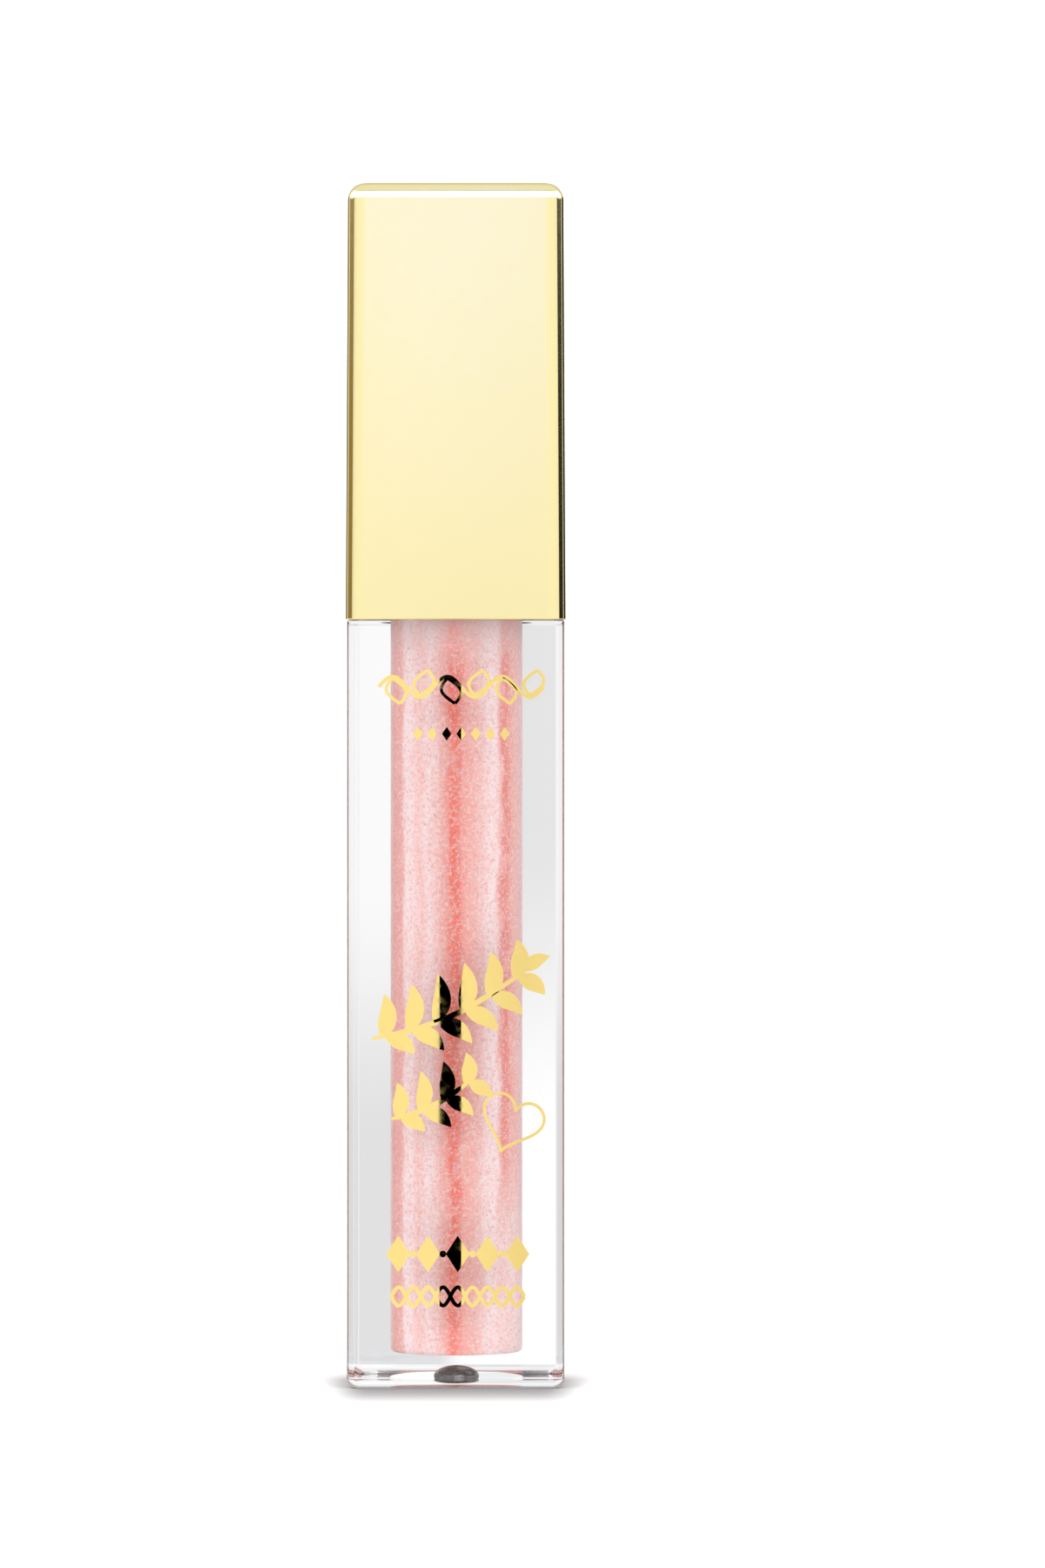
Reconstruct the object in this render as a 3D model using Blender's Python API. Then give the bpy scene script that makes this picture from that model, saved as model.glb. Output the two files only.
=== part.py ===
"""A square lip gloss tube, closed and standing on its base.

Metres, +Z up, the origin at the middle of the base, the front towards -Y.
The bottle and its wiper stand still. The applicator (both caps, the stem and the
flocked tip) turns on the thread about Z, rises with it, and then lifts out along Z.
"""

import math

import bmesh
import bpy

MM = 0.001

# Bottle: a square block with a round bore, and a round threaded neck.
BODY_HALF = 9.5 * MM
BODY_TOP = 67.0 * MM
BODY_CORNER_R = 0.7 * MM
BASE_EDGE_R = 0.9 * MM
SHOULDER_EDGE_R = 0.35 * MM
BORE_R = 5.8 * MM
BORE_FLOOR = 3.1 * MM
BORE_FLOOR_EDGE_R = 0.5 * MM
NECK_R = 6.7 * MM
NECK_TOP = 82.0 * MM
NECK_EDGE_R = 0.2 * MM
FOOT_RECESS_R = 6.0 * MM
FOOT_RECESS_DEPTH = 0.3 * MM
GATE_DIMPLE_R = 2.2 * MM
GATE_DIMPLE_TOP = 1.3 * MM

# Thread: right-handed, one start. The cap's ridge runs half a pitch below the neck's.
PITCH = 2.5 * MM
NECK_THREAD_CREST_R = 7.35 * MM
NECK_THREAD_START = 71.8 * MM
NECK_THREAD_TURNS = 1.5
CAP_THREAD_CREST_R = 6.9 * MM
CAP_THREAD_FIRST_TURN = 150 / 360
CAP_THREAD_TURNS = 1.0
RIDGE_FOOT_WIDTH = 1.0 * MM
RIDGE_CREST_WIDTH = 0.45 * MM
RIDGE_SUNK = 0.2 * MM
RIDGE_FADE_TURNS = 0.08
RIDGE_END_SHARE = 0.05

# Outer cap: a square shell that is slightly narrower at its top.
CAP_BOTTOM = 67.15 * MM
CAP_TOP = 105.5 * MM
CAP_BOTTOM_HALF = 9.65 * MM
CAP_TOP_HALF = 9.45 * MM
CAP_CORNER_R = 0.6 * MM
CAP_TOP_EDGE_R = 1.6 * MM
CAP_BOTTOM_EDGE_R = 0.12 * MM
CAP_WALL = 1.1 * MM
CAP_TOP_WALL = 1.4 * MM
CAP_HOLLOW_CORNER_R = 0.4 * MM
CAP_RIB_WIDTH = 0.9 * MM
CAP_RIB_DEPTH = 1.6 * MM
CAP_RIB_BOTTOM = 85.4 * MM

# Inner cap: a threaded skirt with a foot flange, a square plate and a stem socket.
INNER_BORE_R = 7.5 * MM
INNER_SKIRT_R = 8.15 * MM
INNER_BOTTOM = 67.5 * MM
INNER_FOOT_TOP = 68.9 * MM
INNER_FOOT_HALF = 8.4 * MM
INNER_PLATE_BOTTOM = 83.8 * MM
INNER_PLATE_TOP = 85.2 * MM
INNER_PLATE_HALF = 8.3 * MM
INNER_FLANGE_CORNER_R = 0.9 * MM
INNER_SKIRT_RIBS = 12
INNER_SKIRT_RIB_WIDTH = 0.5 * MM
INNER_SKIRT_RIB_PROUD = 0.2 * MM
SOCKET_R = 3.3 * MM
SOCKET_TOP = 94.0 * MM
SOCKET_EDGE_CUT = 0.3 * MM
SOCKET_BORE_R = 2.2 * MM
SOCKET_BORE_TOP = 93.0 * MM

# Applicator: a round stem with a bendy nib plugged into its end, and the nib's flocking.
STEM_R = 2.1 * MM
STEM_BOTTOM = 19.85 * MM
STEM_TOP = 92.8 * MM
STEM_EDGE_R = 0.15 * MM
STEM_TOP_EDGE_CUT = 0.5 * MM
NIB_SOCKET_R = 1.35 * MM
NIB_SOCKET_TOP = 27.0 * MM
NIB_PLUG_R = 1.25 * MM
NIB_PLUG_TOP = 26.6 * MM
NIB_PLUG_EDGE_CUT = 0.3 * MM
TIP_BOTTOM = 6.8 * MM
TIP_TOP = 19.75 * MM
TIP_HALF_WIDTH = 2.2 * MM
TIP_TOP_HALF = 2.1 * MM
TIP_END_HALF = 0.1 * MM
TIP_WIDEST_SHARE = 0.42
TIP_ROUNDNESS = 0.52
TIP_NARROWING_POWER = 1.5
TIP_END_SHIFT = 0.6 * MM
TIP_SHIFT_POWER = 3
TIP_SLANT_DEPTH = 1.3 * MM
TIP_SLANT_SHARE = 0.85
TIP_SLANT_POWER = 1.1
FLOCK_THICKNESS = 0.45 * MM
FLOCK_GAP = 0.08 * MM

# Wiper, gasket and gloss, stacked in and on the neck.
WIPER_FLANGE_R = 6.45 * MM
WIPER_FLANGE_BOTTOM = 82.05 * MM
WIPER_FLANGE_TOP = 82.8 * MM
WIPER_SLEEVE_R = 5.72 * MM
WIPER_SLEEVE_BORE_R = 4.9 * MM
WIPER_FUNNEL_TOP = 77.0 * MM
WIPER_BOTTOM = 72.6 * MM
WIPER_LIP_R = 3.1 * MM
WIPER_LIP_TOP = 73.0 * MM
WIPER_ORIFICE_R = 2.4 * MM
WIPER_EDGE_CUT = 0.2 * MM
GASKET_BOTTOM = 82.85 * MM
GASKET_TOP = 83.7 * MM
GASKET_R = 6.6 * MM
GASKET_BORE_R = 2.35 * MM
GLOSS_R = 5.72 * MM
GLOSS_BOTTOM = 3.2 * MM
GLOSS_TOP = 70.0 * MM
GLOSS_CHANNEL_R = 2.65 * MM
GLOSS_CHANNEL_FLOOR = 6.3 * MM
GLOSS_CHANNEL_EDGE_CUT = 0.8 * MM

ROUND_SEGMENTS = 48
THREAD_SEGMENTS = 36
CORNER_SEGMENTS = 4
EDGE_SEGMENTS = 4
TIP_SEGMENTS = 24
TIP_RINGS = 14
TIP_RING_CROWDING = 1.6
SHARP_ANGLE_DEG = 32

# A cutting tool runs past what it cuts, and a joined shape is sunk into its neighbour.
CUT_MARGIN = 1.0 * MM
JOIN_OVERLAP = 0.3 * MM
MERGE_DISTANCE = 0.0001 * MM


def clear_scene():
    for obj in list(bpy.data.objects):
        bpy.data.objects.remove(obj, do_unlink=True)


def make_material(name, color, roughness, metallic=0.0, transmission=0.0, coat=0.0):
    material = bpy.data.materials.new(name)
    material.use_nodes = True
    shader = material.node_tree.nodes["Principled BSDF"]
    shader.inputs["Base Color"].default_value = (*color, 1.0)
    shader.inputs["Roughness"].default_value = roughness
    shader.inputs["Metallic"].default_value = metallic
    shader.inputs["Transmission Weight"].default_value = transmission
    shader.inputs["Coat Weight"].default_value = coat
    return material


def clear_plastic():
    return make_material("clear_plastic", (0.97, 0.98, 0.98), 0.03, transmission=1.0)


def gold_plating():
    return make_material("gold_plating", (0.93, 0.78, 0.42), 0.12, metallic=1.0)


def black_plastic():
    return make_material("black_plastic", (0.012, 0.012, 0.013), 0.18, coat=0.3)


def white_plastic():
    return make_material("white_plastic", (0.86, 0.86, 0.84), 0.45)


def soft_wiper_plastic():
    return make_material("soft_wiper_plastic", (0.88, 0.88, 0.87), 0.5)


def foam_sheet():
    return make_material("foam_sheet", (0.9, 0.9, 0.88), 0.8)


def pink_gel():
    return make_material("pink_gel", (0.95, 0.5, 0.46), 0.2)


def nib_elastomer():
    return make_material("nib_elastomer", (0.85, 0.55, 0.6), 0.5)


def pink_flock():
    return make_material("pink_flock", (0.93, 0.5, 0.68), 0.95)


def object_from_bmesh(bm, name, material=None):
    bmesh.ops.recalc_face_normals(bm, faces=bm.faces)
    mesh = bpy.data.meshes.new(name)
    bm.to_mesh(mesh)
    bm.free()
    mesh.shade_smooth()
    mesh.set_sharp_from_angle(angle=math.radians(SHARP_ANGLE_DEG))
    obj = bpy.data.objects.new(name, mesh)
    bpy.context.scene.collection.objects.link(obj)
    if material:
        mesh.materials.append(material)
    return obj


def arc(center_r, center_z, radius, start_deg, end_deg, steps=EDGE_SEGMENTS):
    """Points (r, z) of an arc, both ends included."""
    points = []
    for i in range(steps + 1):
        angle = math.radians(start_deg + (end_deg - start_deg) * i / steps)
        points.append((center_r + radius * math.cos(angle), center_z + radius * math.sin(angle)))
    return points


def turned(name, profile, material=None, closed=False):
    """Spin a profile of (r, z) points about the Z axis.

    An open profile starts and ends on the axis; a closed one makes a ring.
    """
    bm = bmesh.new()
    verts = [bm.verts.new((r, 0.0, z)) for r, z in profile]
    edges = [bm.edges.new(pair) for pair in zip(verts, verts[1:])]
    if closed:
        edges.append(bm.edges.new((verts[-1], verts[0])))
    bmesh.ops.spin(
        bm, geom=verts + edges, cent=(0, 0, 0), axis=(0, 0, 1),
        angle=math.tau, steps=ROUND_SEGMENTS, use_merge=True,
    )
    bmesh.ops.remove_doubles(bm, verts=bm.verts, dist=MERGE_DISTANCE)
    return object_from_bmesh(bm, name, material)


def rounded_square(half, corner_r, z):
    """Points of a square with round corners, anticlockwise seen from above."""
    points = []
    for corner, (sx, sy) in enumerate(((1, 1), (-1, 1), (-1, -1), (1, -1))):
        cx = sx * (half - corner_r)
        cy = sy * (half - corner_r)
        for i in range(CORNER_SEGMENTS + 1):
            angle = math.radians(90 * (corner + i / CORNER_SEGMENTS))
            points.append((cx + corner_r * math.cos(angle), cy + corner_r * math.sin(angle), z))
    return points


def lofted(name, rings, material=None):
    """Skin a stack of rings, bottom to top, and close both ends."""
    bm = bmesh.new()
    loops = [[bm.verts.new(point) for point in ring] for ring in rings]
    for lower, upper in zip(loops, loops[1:]):
        count = len(lower)
        for i in range(count):
            j = (i + 1) % count
            bm.faces.new((lower[i], lower[j], upper[j], upper[i]))
    bm.faces.new(list(reversed(loops[0])))
    bm.faces.new(loops[-1])
    return object_from_bmesh(bm, name, material)


def box(name, low, high):
    corners = [(low[0], low[1]), (high[0], low[1]), (high[0], high[1]), (low[0], high[1])]
    return lofted(name, [[(x, y, z) for x, y in corners] for z in (low[2], high[2])])


def edge_insets(radius, steps=EDGE_SEGMENTS):
    """(inset, height) pairs up a quarter round, from its flat end to its full width."""
    pairs = []
    for i in range(steps + 1):
        angle = math.radians(90 * i / steps)
        pairs.append((radius * (1 - math.sin(angle)), radius * (1 - math.cos(angle))))
    return pairs


def hide_as_tool(obj):
    obj.hide_render = True
    obj.display_type = "WIRE"


def combine(obj, tool, operation):
    hide_as_tool(tool)
    modifier = obj.modifiers.new(tool.name, "BOOLEAN")
    modifier.operation = operation
    modifier.solver = "EXACT"
    modifier.object = tool


def thread_ridge(name, root_r, crest_r, start_z, first_turn, turns):
    """A trapezoidal helical ridge whose crest sinks back to its root at both ends."""
    bm = bmesh.new()
    steps = round(turns * THREAD_SEGMENTS)
    sections = []
    for i in range(steps + 1):
        turn = turns * i / steps
        fade = min(1.0, turn / RIDGE_FADE_TURNS, (turns - turn) / RIDGE_FADE_TURNS)
        tip_r = root_r + (crest_r - root_r) * max(fade, RIDGE_END_SHARE)
        angle = math.tau * (first_turn + turn)
        z = start_z + PITCH * (first_turn + turn)
        section = (
            (root_r, z - RIDGE_FOOT_WIDTH / 2),
            (tip_r, z - RIDGE_CREST_WIDTH / 2),
            (tip_r, z + RIDGE_CREST_WIDTH / 2),
            (root_r, z + RIDGE_FOOT_WIDTH / 2),
        )
        sections.append([
            bm.verts.new((r * math.cos(angle), r * math.sin(angle), height))
            for r, height in section
        ])
    for near, far in zip(sections, sections[1:]):
        for i in range(4):
            j = (i + 1) % 4
            bm.faces.new((near[i], near[j], far[j], far[i]))
    bm.faces.new(sections[0])
    bm.faces.new(list(reversed(sections[-1])))
    return object_from_bmesh(bm, name)


def make_bottle():
    rings = [
        rounded_square(BODY_HALF - inset, BODY_CORNER_R, height)
        for inset, height in edge_insets(BASE_EDGE_R)
    ]
    rings += [
        rounded_square(BODY_HALF - inset, BODY_CORNER_R, BODY_TOP - height)
        for inset, height in reversed(edge_insets(SHOULDER_EDGE_R, 2))
    ]
    bottle = lofted("bottle", rings, clear_plastic())
    neck = turned("bottle_neck_tool", [
        (0, BODY_TOP - CUT_MARGIN),
        (NECK_R, BODY_TOP - CUT_MARGIN),
        *arc(NECK_R - NECK_EDGE_R, NECK_TOP - NECK_EDGE_R, NECK_EDGE_R, 0, 90, 2),
        (0, NECK_TOP),
    ])
    combine(bottle, neck, "UNION")
    ridge = thread_ridge(
        "bottle_thread_tool", NECK_R - RIDGE_SUNK, NECK_THREAD_CREST_R,
        NECK_THREAD_START, 0.0, NECK_THREAD_TURNS,
    )
    combine(bottle, ridge, "UNION")
    bore = turned("bottle_bore_tool", [
        (0, BORE_FLOOR),
        *arc(BORE_R - BORE_FLOOR_EDGE_R, BORE_FLOOR + BORE_FLOOR_EDGE_R, BORE_FLOOR_EDGE_R, -90, 0),
        (BORE_R, NECK_TOP + CUT_MARGIN),
        (0, NECK_TOP + CUT_MARGIN),
    ])
    combine(bottle, bore, "DIFFERENCE")
    dimple_rise = GATE_DIMPLE_TOP - FOOT_RECESS_DEPTH
    dimple = [
        (
            GATE_DIMPLE_R * math.cos(math.radians(90 * i / EDGE_SEGMENTS)),
            FOOT_RECESS_DEPTH + dimple_rise * math.sin(math.radians(90 * i / EDGE_SEGMENTS)),
        )
        for i in range(EDGE_SEGMENTS)
    ]
    foot = turned("bottle_foot_tool", [
        (0, -CUT_MARGIN),
        (FOOT_RECESS_R, -CUT_MARGIN),
        (FOOT_RECESS_R, FOOT_RECESS_DEPTH),
        *dimple,
        (0, GATE_DIMPLE_TOP),
    ])
    combine(bottle, foot, "DIFFERENCE")
    return bottle


def cap_half_at(z):
    """Half the outer cap's width at a height, on its straight draft."""
    share = (z - CAP_BOTTOM) / (CAP_TOP - CAP_BOTTOM)
    return CAP_BOTTOM_HALF + (CAP_TOP_HALF - CAP_BOTTOM_HALF) * share


def make_outer_cap():
    rings = [
        rounded_square(CAP_BOTTOM_HALF - inset, CAP_CORNER_R, CAP_BOTTOM + height)
        for inset, height in edge_insets(CAP_BOTTOM_EDGE_R, 2)
    ]
    rings += [
        rounded_square(cap_half_at(CAP_TOP - height) - inset, CAP_CORNER_R, CAP_TOP - height)
        for inset, height in reversed(edge_insets(CAP_TOP_EDGE_R, 6))
    ]
    cap = lofted("outer_cap", rings, gold_plating())
    hollow_top = CAP_TOP - CAP_TOP_WALL
    hollow = lofted("outer_cap_hollow_tool", [
        rounded_square(cap_half_at(z) - CAP_WALL, CAP_HOLLOW_CORNER_R, z)
        for z in (CAP_BOTTOM - CUT_MARGIN, hollow_top)
    ])
    combine(cap, hollow, "DIFFERENCE")
    inner = cap_half_at(CAP_RIB_BOTTOM) - CAP_WALL
    for index in range(4):
        rib = box(
            f"outer_cap_rib_tool_{index + 1}",
            (inner - CAP_RIB_DEPTH, -CAP_RIB_WIDTH / 2, CAP_RIB_BOTTOM),
            (inner + CAP_WALL / 2, CAP_RIB_WIDTH / 2, hollow_top + CAP_TOP_WALL / 2),
        )
        rib.rotation_euler.z = math.radians(90 * index)
        combine(cap, rib, "UNION")
    return cap


def make_inner_cap():
    cap = turned("inner_cap", [
        (0, INNER_BOTTOM),
        (INNER_SKIRT_R, INNER_BOTTOM),
        (INNER_SKIRT_R, INNER_PLATE_TOP - JOIN_OVERLAP),
        (SOCKET_R, INNER_PLATE_TOP - JOIN_OVERLAP),
        (SOCKET_R, SOCKET_TOP - SOCKET_EDGE_CUT),
        (SOCKET_R - SOCKET_EDGE_CUT, SOCKET_TOP),
        (0, SOCKET_TOP),
    ], white_plastic())
    foot = lofted("inner_cap_foot_tool", [
        rounded_square(INNER_FOOT_HALF, INNER_FLANGE_CORNER_R, z)
        for z in (INNER_BOTTOM, INNER_FOOT_TOP)
    ])
    combine(cap, foot, "UNION")
    plate = lofted("inner_cap_plate_tool", [
        rounded_square(INNER_PLATE_HALF, INNER_FLANGE_CORNER_R, z)
        for z in (INNER_PLATE_BOTTOM, INNER_PLATE_TOP)
    ])
    combine(cap, plate, "UNION")
    rib_r = INNER_SKIRT_R + INNER_SKIRT_RIB_PROUD
    for index in range(INNER_SKIRT_RIBS):
        rib = box(
            f"inner_cap_rib_tool_{index + 1}",
            (INNER_SKIRT_R - JOIN_OVERLAP, -INNER_SKIRT_RIB_WIDTH / 2, INNER_FOOT_TOP - JOIN_OVERLAP),
            (rib_r, INNER_SKIRT_RIB_WIDTH / 2, INNER_PLATE_BOTTOM + JOIN_OVERLAP),
        )
        rib.rotation_euler.z = math.radians(360 * (index + 0.5) / INNER_SKIRT_RIBS)
        combine(cap, rib, "UNION")
    bore = turned("inner_cap_bore_tool", [
        (0, INNER_BOTTOM - CUT_MARGIN),
        (INNER_BORE_R, INNER_BOTTOM - CUT_MARGIN),
        (INNER_BORE_R, INNER_PLATE_BOTTOM),
        (SOCKET_BORE_R, INNER_PLATE_BOTTOM),
        (SOCKET_BORE_R, SOCKET_BORE_TOP),
        (0, SOCKET_BORE_TOP),
    ])
    combine(cap, bore, "DIFFERENCE")
    ridge = thread_ridge(
        "inner_cap_thread_tool", INNER_BORE_R + RIDGE_SUNK, CAP_THREAD_CREST_R,
        NECK_THREAD_START - PITCH / 2, CAP_THREAD_FIRST_TURN, CAP_THREAD_TURNS,
    )
    combine(cap, ridge, "UNION")
    return cap


def make_wiper():
    return turned("wiper", [
        (WIPER_ORIFICE_R, WIPER_BOTTOM),
        (WIPER_LIP_R, WIPER_BOTTOM),
        (WIPER_SLEEVE_R, WIPER_FUNNEL_TOP),
        (WIPER_SLEEVE_R, WIPER_FLANGE_BOTTOM),
        (WIPER_FLANGE_R, WIPER_FLANGE_BOTTOM),
        (WIPER_FLANGE_R, WIPER_FLANGE_TOP - WIPER_EDGE_CUT),
        (WIPER_FLANGE_R - WIPER_EDGE_CUT, WIPER_FLANGE_TOP),
        (WIPER_SLEEVE_BORE_R + WIPER_EDGE_CUT, WIPER_FLANGE_TOP),
        (WIPER_SLEEVE_BORE_R, WIPER_FLANGE_TOP - WIPER_EDGE_CUT),
        (WIPER_SLEEVE_BORE_R, WIPER_FUNNEL_TOP + WIPER_EDGE_CUT),
        (WIPER_ORIFICE_R, WIPER_LIP_TOP),
    ], soft_wiper_plastic(), closed=True)


def make_gasket():
    return turned("gasket", [
        (GASKET_BORE_R, GASKET_BOTTOM),
        (GASKET_R, GASKET_BOTTOM),
        (GASKET_R, GASKET_TOP),
        (GASKET_BORE_R, GASKET_TOP),
    ], foam_sheet(), closed=True)


def make_gloss_fill():
    return turned("gloss_fill", [
        (0, GLOSS_BOTTOM),
        *arc(GLOSS_R - BORE_FLOOR_EDGE_R, GLOSS_BOTTOM + BORE_FLOOR_EDGE_R, BORE_FLOOR_EDGE_R, -90, 0),
        (GLOSS_R, GLOSS_TOP),
        (GLOSS_CHANNEL_R, GLOSS_TOP),
        (GLOSS_CHANNEL_R, GLOSS_CHANNEL_FLOOR + GLOSS_CHANNEL_EDGE_CUT),
        (GLOSS_CHANNEL_R - GLOSS_CHANNEL_EDGE_CUT, GLOSS_CHANNEL_FLOOR),
        (0, GLOSS_CHANNEL_FLOOR),
    ], pink_gel())


def make_stem():
    return turned("stem", [
        (0, NIB_SOCKET_TOP),
        (NIB_SOCKET_R, NIB_SOCKET_TOP),
        (NIB_SOCKET_R, STEM_BOTTOM),
        *arc(STEM_R - STEM_EDGE_R, STEM_BOTTOM + STEM_EDGE_R, STEM_EDGE_R, -90, 0, 2),
        (STEM_R, STEM_TOP - STEM_TOP_EDGE_CUT),
        (STEM_R - STEM_TOP_EDGE_CUT, STEM_TOP),
        (0, STEM_TOP),
    ], black_plastic())


def tip_section(share, inset):
    """One ring of the slanted tip, share 0 at its round end to 1 at its top.

    The tip is widest a little below its middle, its front face slants back
    towards the end, and the end leans a little to +X.
    """
    thinner = 1 - inset / TIP_HALF_WIDTH
    rise = math.sin(0.5 * math.pi * min(1.0, share / TIP_WIDEST_SHARE)) ** TIP_ROUNDNESS
    narrowing = max(0.0, share - TIP_WIDEST_SHARE) / (1 - TIP_WIDEST_SHARE)
    narrowed = (TIP_TOP_HALF - TIP_HALF_WIDTH) * narrowing ** TIP_NARROWING_POWER
    half = TIP_HALF_WIDTH * rise + narrowed
    half = max(half, TIP_END_HALF)
    slant = TIP_SLANT_DEPTH * (1 - min(1.0, share / TIP_SLANT_SHARE)) ** TIP_SLANT_POWER
    front = half * (1 - slant / TIP_HALF_WIDTH)
    shift = TIP_END_SHIFT * (1 - share) ** TIP_SHIFT_POWER
    z = TIP_BOTTOM + inset + (TIP_TOP - TIP_BOTTOM - inset) * share
    points = []
    for i in range(TIP_SEGMENTS):
        angle = math.tau * i / TIP_SEGMENTS
        depth = half if math.sin(angle) > 0 else front
        points.append((
            shift + half * thinner * math.cos(angle),
            depth * thinner * math.sin(angle),
            z,
        ))
    return points


def tip_rings(inset):
    shares = [(i / TIP_RINGS) ** TIP_RING_CROWDING for i in range(TIP_RINGS + 1)]
    return [tip_section(share, inset) for share in shares]


def make_tip_core():
    rings = tip_rings(FLOCK_THICKNESS + FLOCK_GAP)
    core = lofted("tip_core", rings, nib_elastomer())
    plug = turned("tip_core_plug_tool", [
        (0, TIP_TOP - CUT_MARGIN),
        (NIB_PLUG_R, TIP_TOP - CUT_MARGIN),
        (NIB_PLUG_R, NIB_PLUG_TOP - NIB_PLUG_EDGE_CUT),
        (NIB_PLUG_R - NIB_PLUG_EDGE_CUT, NIB_PLUG_TOP),
        (0, NIB_PLUG_TOP),
    ])
    combine(core, plug, "UNION")
    return core


def make_tip_flock():
    flock = lofted("tip_flock", tip_rings(0.0), pink_flock())
    hollow_rings = tip_rings(FLOCK_THICKNESS)
    lid = [(x, y, z + CUT_MARGIN) for x, y, z in hollow_rings[-1]]
    hollow = lofted("tip_flock_hollow_tool", [*hollow_rings, lid])
    combine(flock, hollow, "DIFFERENCE")
    return flock


def parent_to_empty(name, children):
    empty = bpy.data.objects.new(name, None)
    bpy.context.scene.collection.objects.link(empty)
    for child in children:
        child.parent = empty
    return empty


def main():
    clear_scene()
    parent_to_empty("bottle_parts", [make_bottle(), make_wiper()])
    parent_to_empty("gloss_parts", [make_gloss_fill()])
    parent_to_empty("seal_parts", [make_gasket()])
    parent_to_empty("applicator_parts", [
        make_outer_cap(), make_inner_cap(), make_stem(), make_tip_core(), make_tip_flock(),
    ])


main()
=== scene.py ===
"""Looks of a square lip gloss tube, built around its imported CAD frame.

Metres, +Z up, the front towards -Y. The clear bottle, the glitter gloss, the gold
cap, the foil ornaments, the stem and the flocked tip are remade here as fine
meshes. The wiper, gasket, inner cap and nib keep their CAD shape.
"""

import math
import random

import bmesh
import bpy
from mathutils import Matrix, Vector


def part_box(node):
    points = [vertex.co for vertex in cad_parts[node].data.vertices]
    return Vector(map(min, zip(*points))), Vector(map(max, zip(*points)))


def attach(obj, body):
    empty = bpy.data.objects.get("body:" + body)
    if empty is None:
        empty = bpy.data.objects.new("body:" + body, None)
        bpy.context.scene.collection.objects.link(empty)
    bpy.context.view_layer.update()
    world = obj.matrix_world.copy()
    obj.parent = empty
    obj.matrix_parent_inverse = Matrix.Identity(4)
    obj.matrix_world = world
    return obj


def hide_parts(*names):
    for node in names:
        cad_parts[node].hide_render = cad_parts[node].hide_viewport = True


MM = 0.001
SEED = 7

# Camera: level, with a long lens. It frames the tube left of the picture's centre.
CAMERA_AT = Vector((5.85 * MM, -469.5 * MM, 52.82 * MM))
CAMERA_LENS = 121.0
CAMERA_SENSOR = 36.0

# Bottle details that the frame's boxes don't tell.
BODY_TOP = 67.08 * MM
BODY_CORNER_R = 0.7 * MM
BASE_EDGE_R = 0.9 * MM
SHOULDER_EDGE_R = 0.05 * MM
BORE_R = 5.8 * MM
BORE_FLOOR = 2.67 * MM
BORE_FLOOR_EDGE_R = 0.4 * MM
NECK_R = 6.7 * MM
NECK_EDGE_R = 0.2 * MM
FOOT_RECESS_R = 6.0 * MM
FOOT_RECESS_EDGE_R = 0.3 * MM
FOOT_RECESS_DEPTH = 0.45 * MM
GATE_MARK_R = 2.0 * MM
GATE_MARK_HEIGHT = 0.95 * MM
THREAD_PITCH = 2.5 * MM
THREAD_CREST_R = 7.35 * MM
THREAD_START = 71.8 * MM
THREAD_TURNS = 1.5
THREAD_FOOT_WIDTH = 1.0 * MM
THREAD_CREST_WIDTH = 0.45 * MM
THREAD_FADE_TURNS = 0.08
THREAD_OUTLINE_POINTS = 9

# Outer cap details.
CAP_CORNER_R = 0.62 * MM
CAP_TOP_EDGE_R = 1.6 * MM
CAP_BOTTOM_EDGE_R = 0.12 * MM
CAP_TOP_HALF = 9.45 * MM
CAP_WALL = 1.1 * MM
CAP_TOP_WALL = 1.4 * MM
CAP_HOLLOW_CORNER_R = 0.4 * MM
CAP_RIB_WIDTH = 0.9 * MM
CAP_RIB_DEPTH = 1.6 * MM
CAP_RIB_BOTTOM = 85.4 * MM
CAP_ROLL_R = 15.0 * MM
CAP_ROLL_DEG = 4.0

# Gloss: it wets the bore, so it is drawn a hair wider than the bore.
GLOSS_WETTING = 0.02 * MM
GLOSS_CHANNEL_R = 2.65 * MM
GLOSS_CHANNEL_FLOOR = 6.3 * MM
FLAKE_COUNT = 9000
FLAKE_R = 0.035 * MM
FLAKE_SIZES = (0.6, 1.25)
FLAKE_DEPTHS = (0.012 * MM, 0.045 * MM)
FLAKE_TILT = 0.22
FLAKE_SIDES = 6

# Foil ornaments, raised on the front face. They mirror a dark strip between these x.
DARK_STRIP = (-1.4 * MM, 0.5 * MM)
FOIL_HEIGHT = 0.025 * MM
FOIL_SUNK = 0.003 * MM
FOIL_LAYERS = 5

# Stem and tip.
STEM_EDGE_R = 0.15 * MM
STEM_TOP_EDGE_R = 0.5 * MM
NIB_SOCKET_R = 1.35 * MM
NIB_SOCKET_TOP = 27.0 * MM
FIBRE_COUNT = 9000
FIBRE_LENGTH = 0.28 * MM
FIBRE_WIDTH = 0.035 * MM
FIBRE_LEAN = 0.35

# Stage: the floor, how dark the soft shadow at the tube's foot gets, and the even level
# of the background that the camera sees.
FLOOR_HALF = 3.0
CONTACT_SHADE = 0.74
BACKGROUND_LEVEL = 1.5

# How finely round shapes are cut, and the edge angle from which they look sharp.
ROUND_SEGMENTS = 96
SHARP_EDGE_DEG = 35


# ---------------------------------------------------------------- mesh helpers

def object_from_bmesh(bm, name, material=None):
    """Turn a bmesh into a linked object, smooth but for its sharp edges."""
    bmesh.ops.recalc_face_normals(bm, faces=bm.faces)
    mesh = bpy.data.meshes.new(name)
    bm.to_mesh(mesh)
    bm.free()
    mesh.shade_smooth()
    mesh.set_sharp_from_angle(angle=math.radians(SHARP_EDGE_DEG))
    obj = bpy.data.objects.new(name, mesh)
    bpy.context.scene.collection.objects.link(obj)
    if material:
        mesh.materials.append(material)
    return obj


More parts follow.
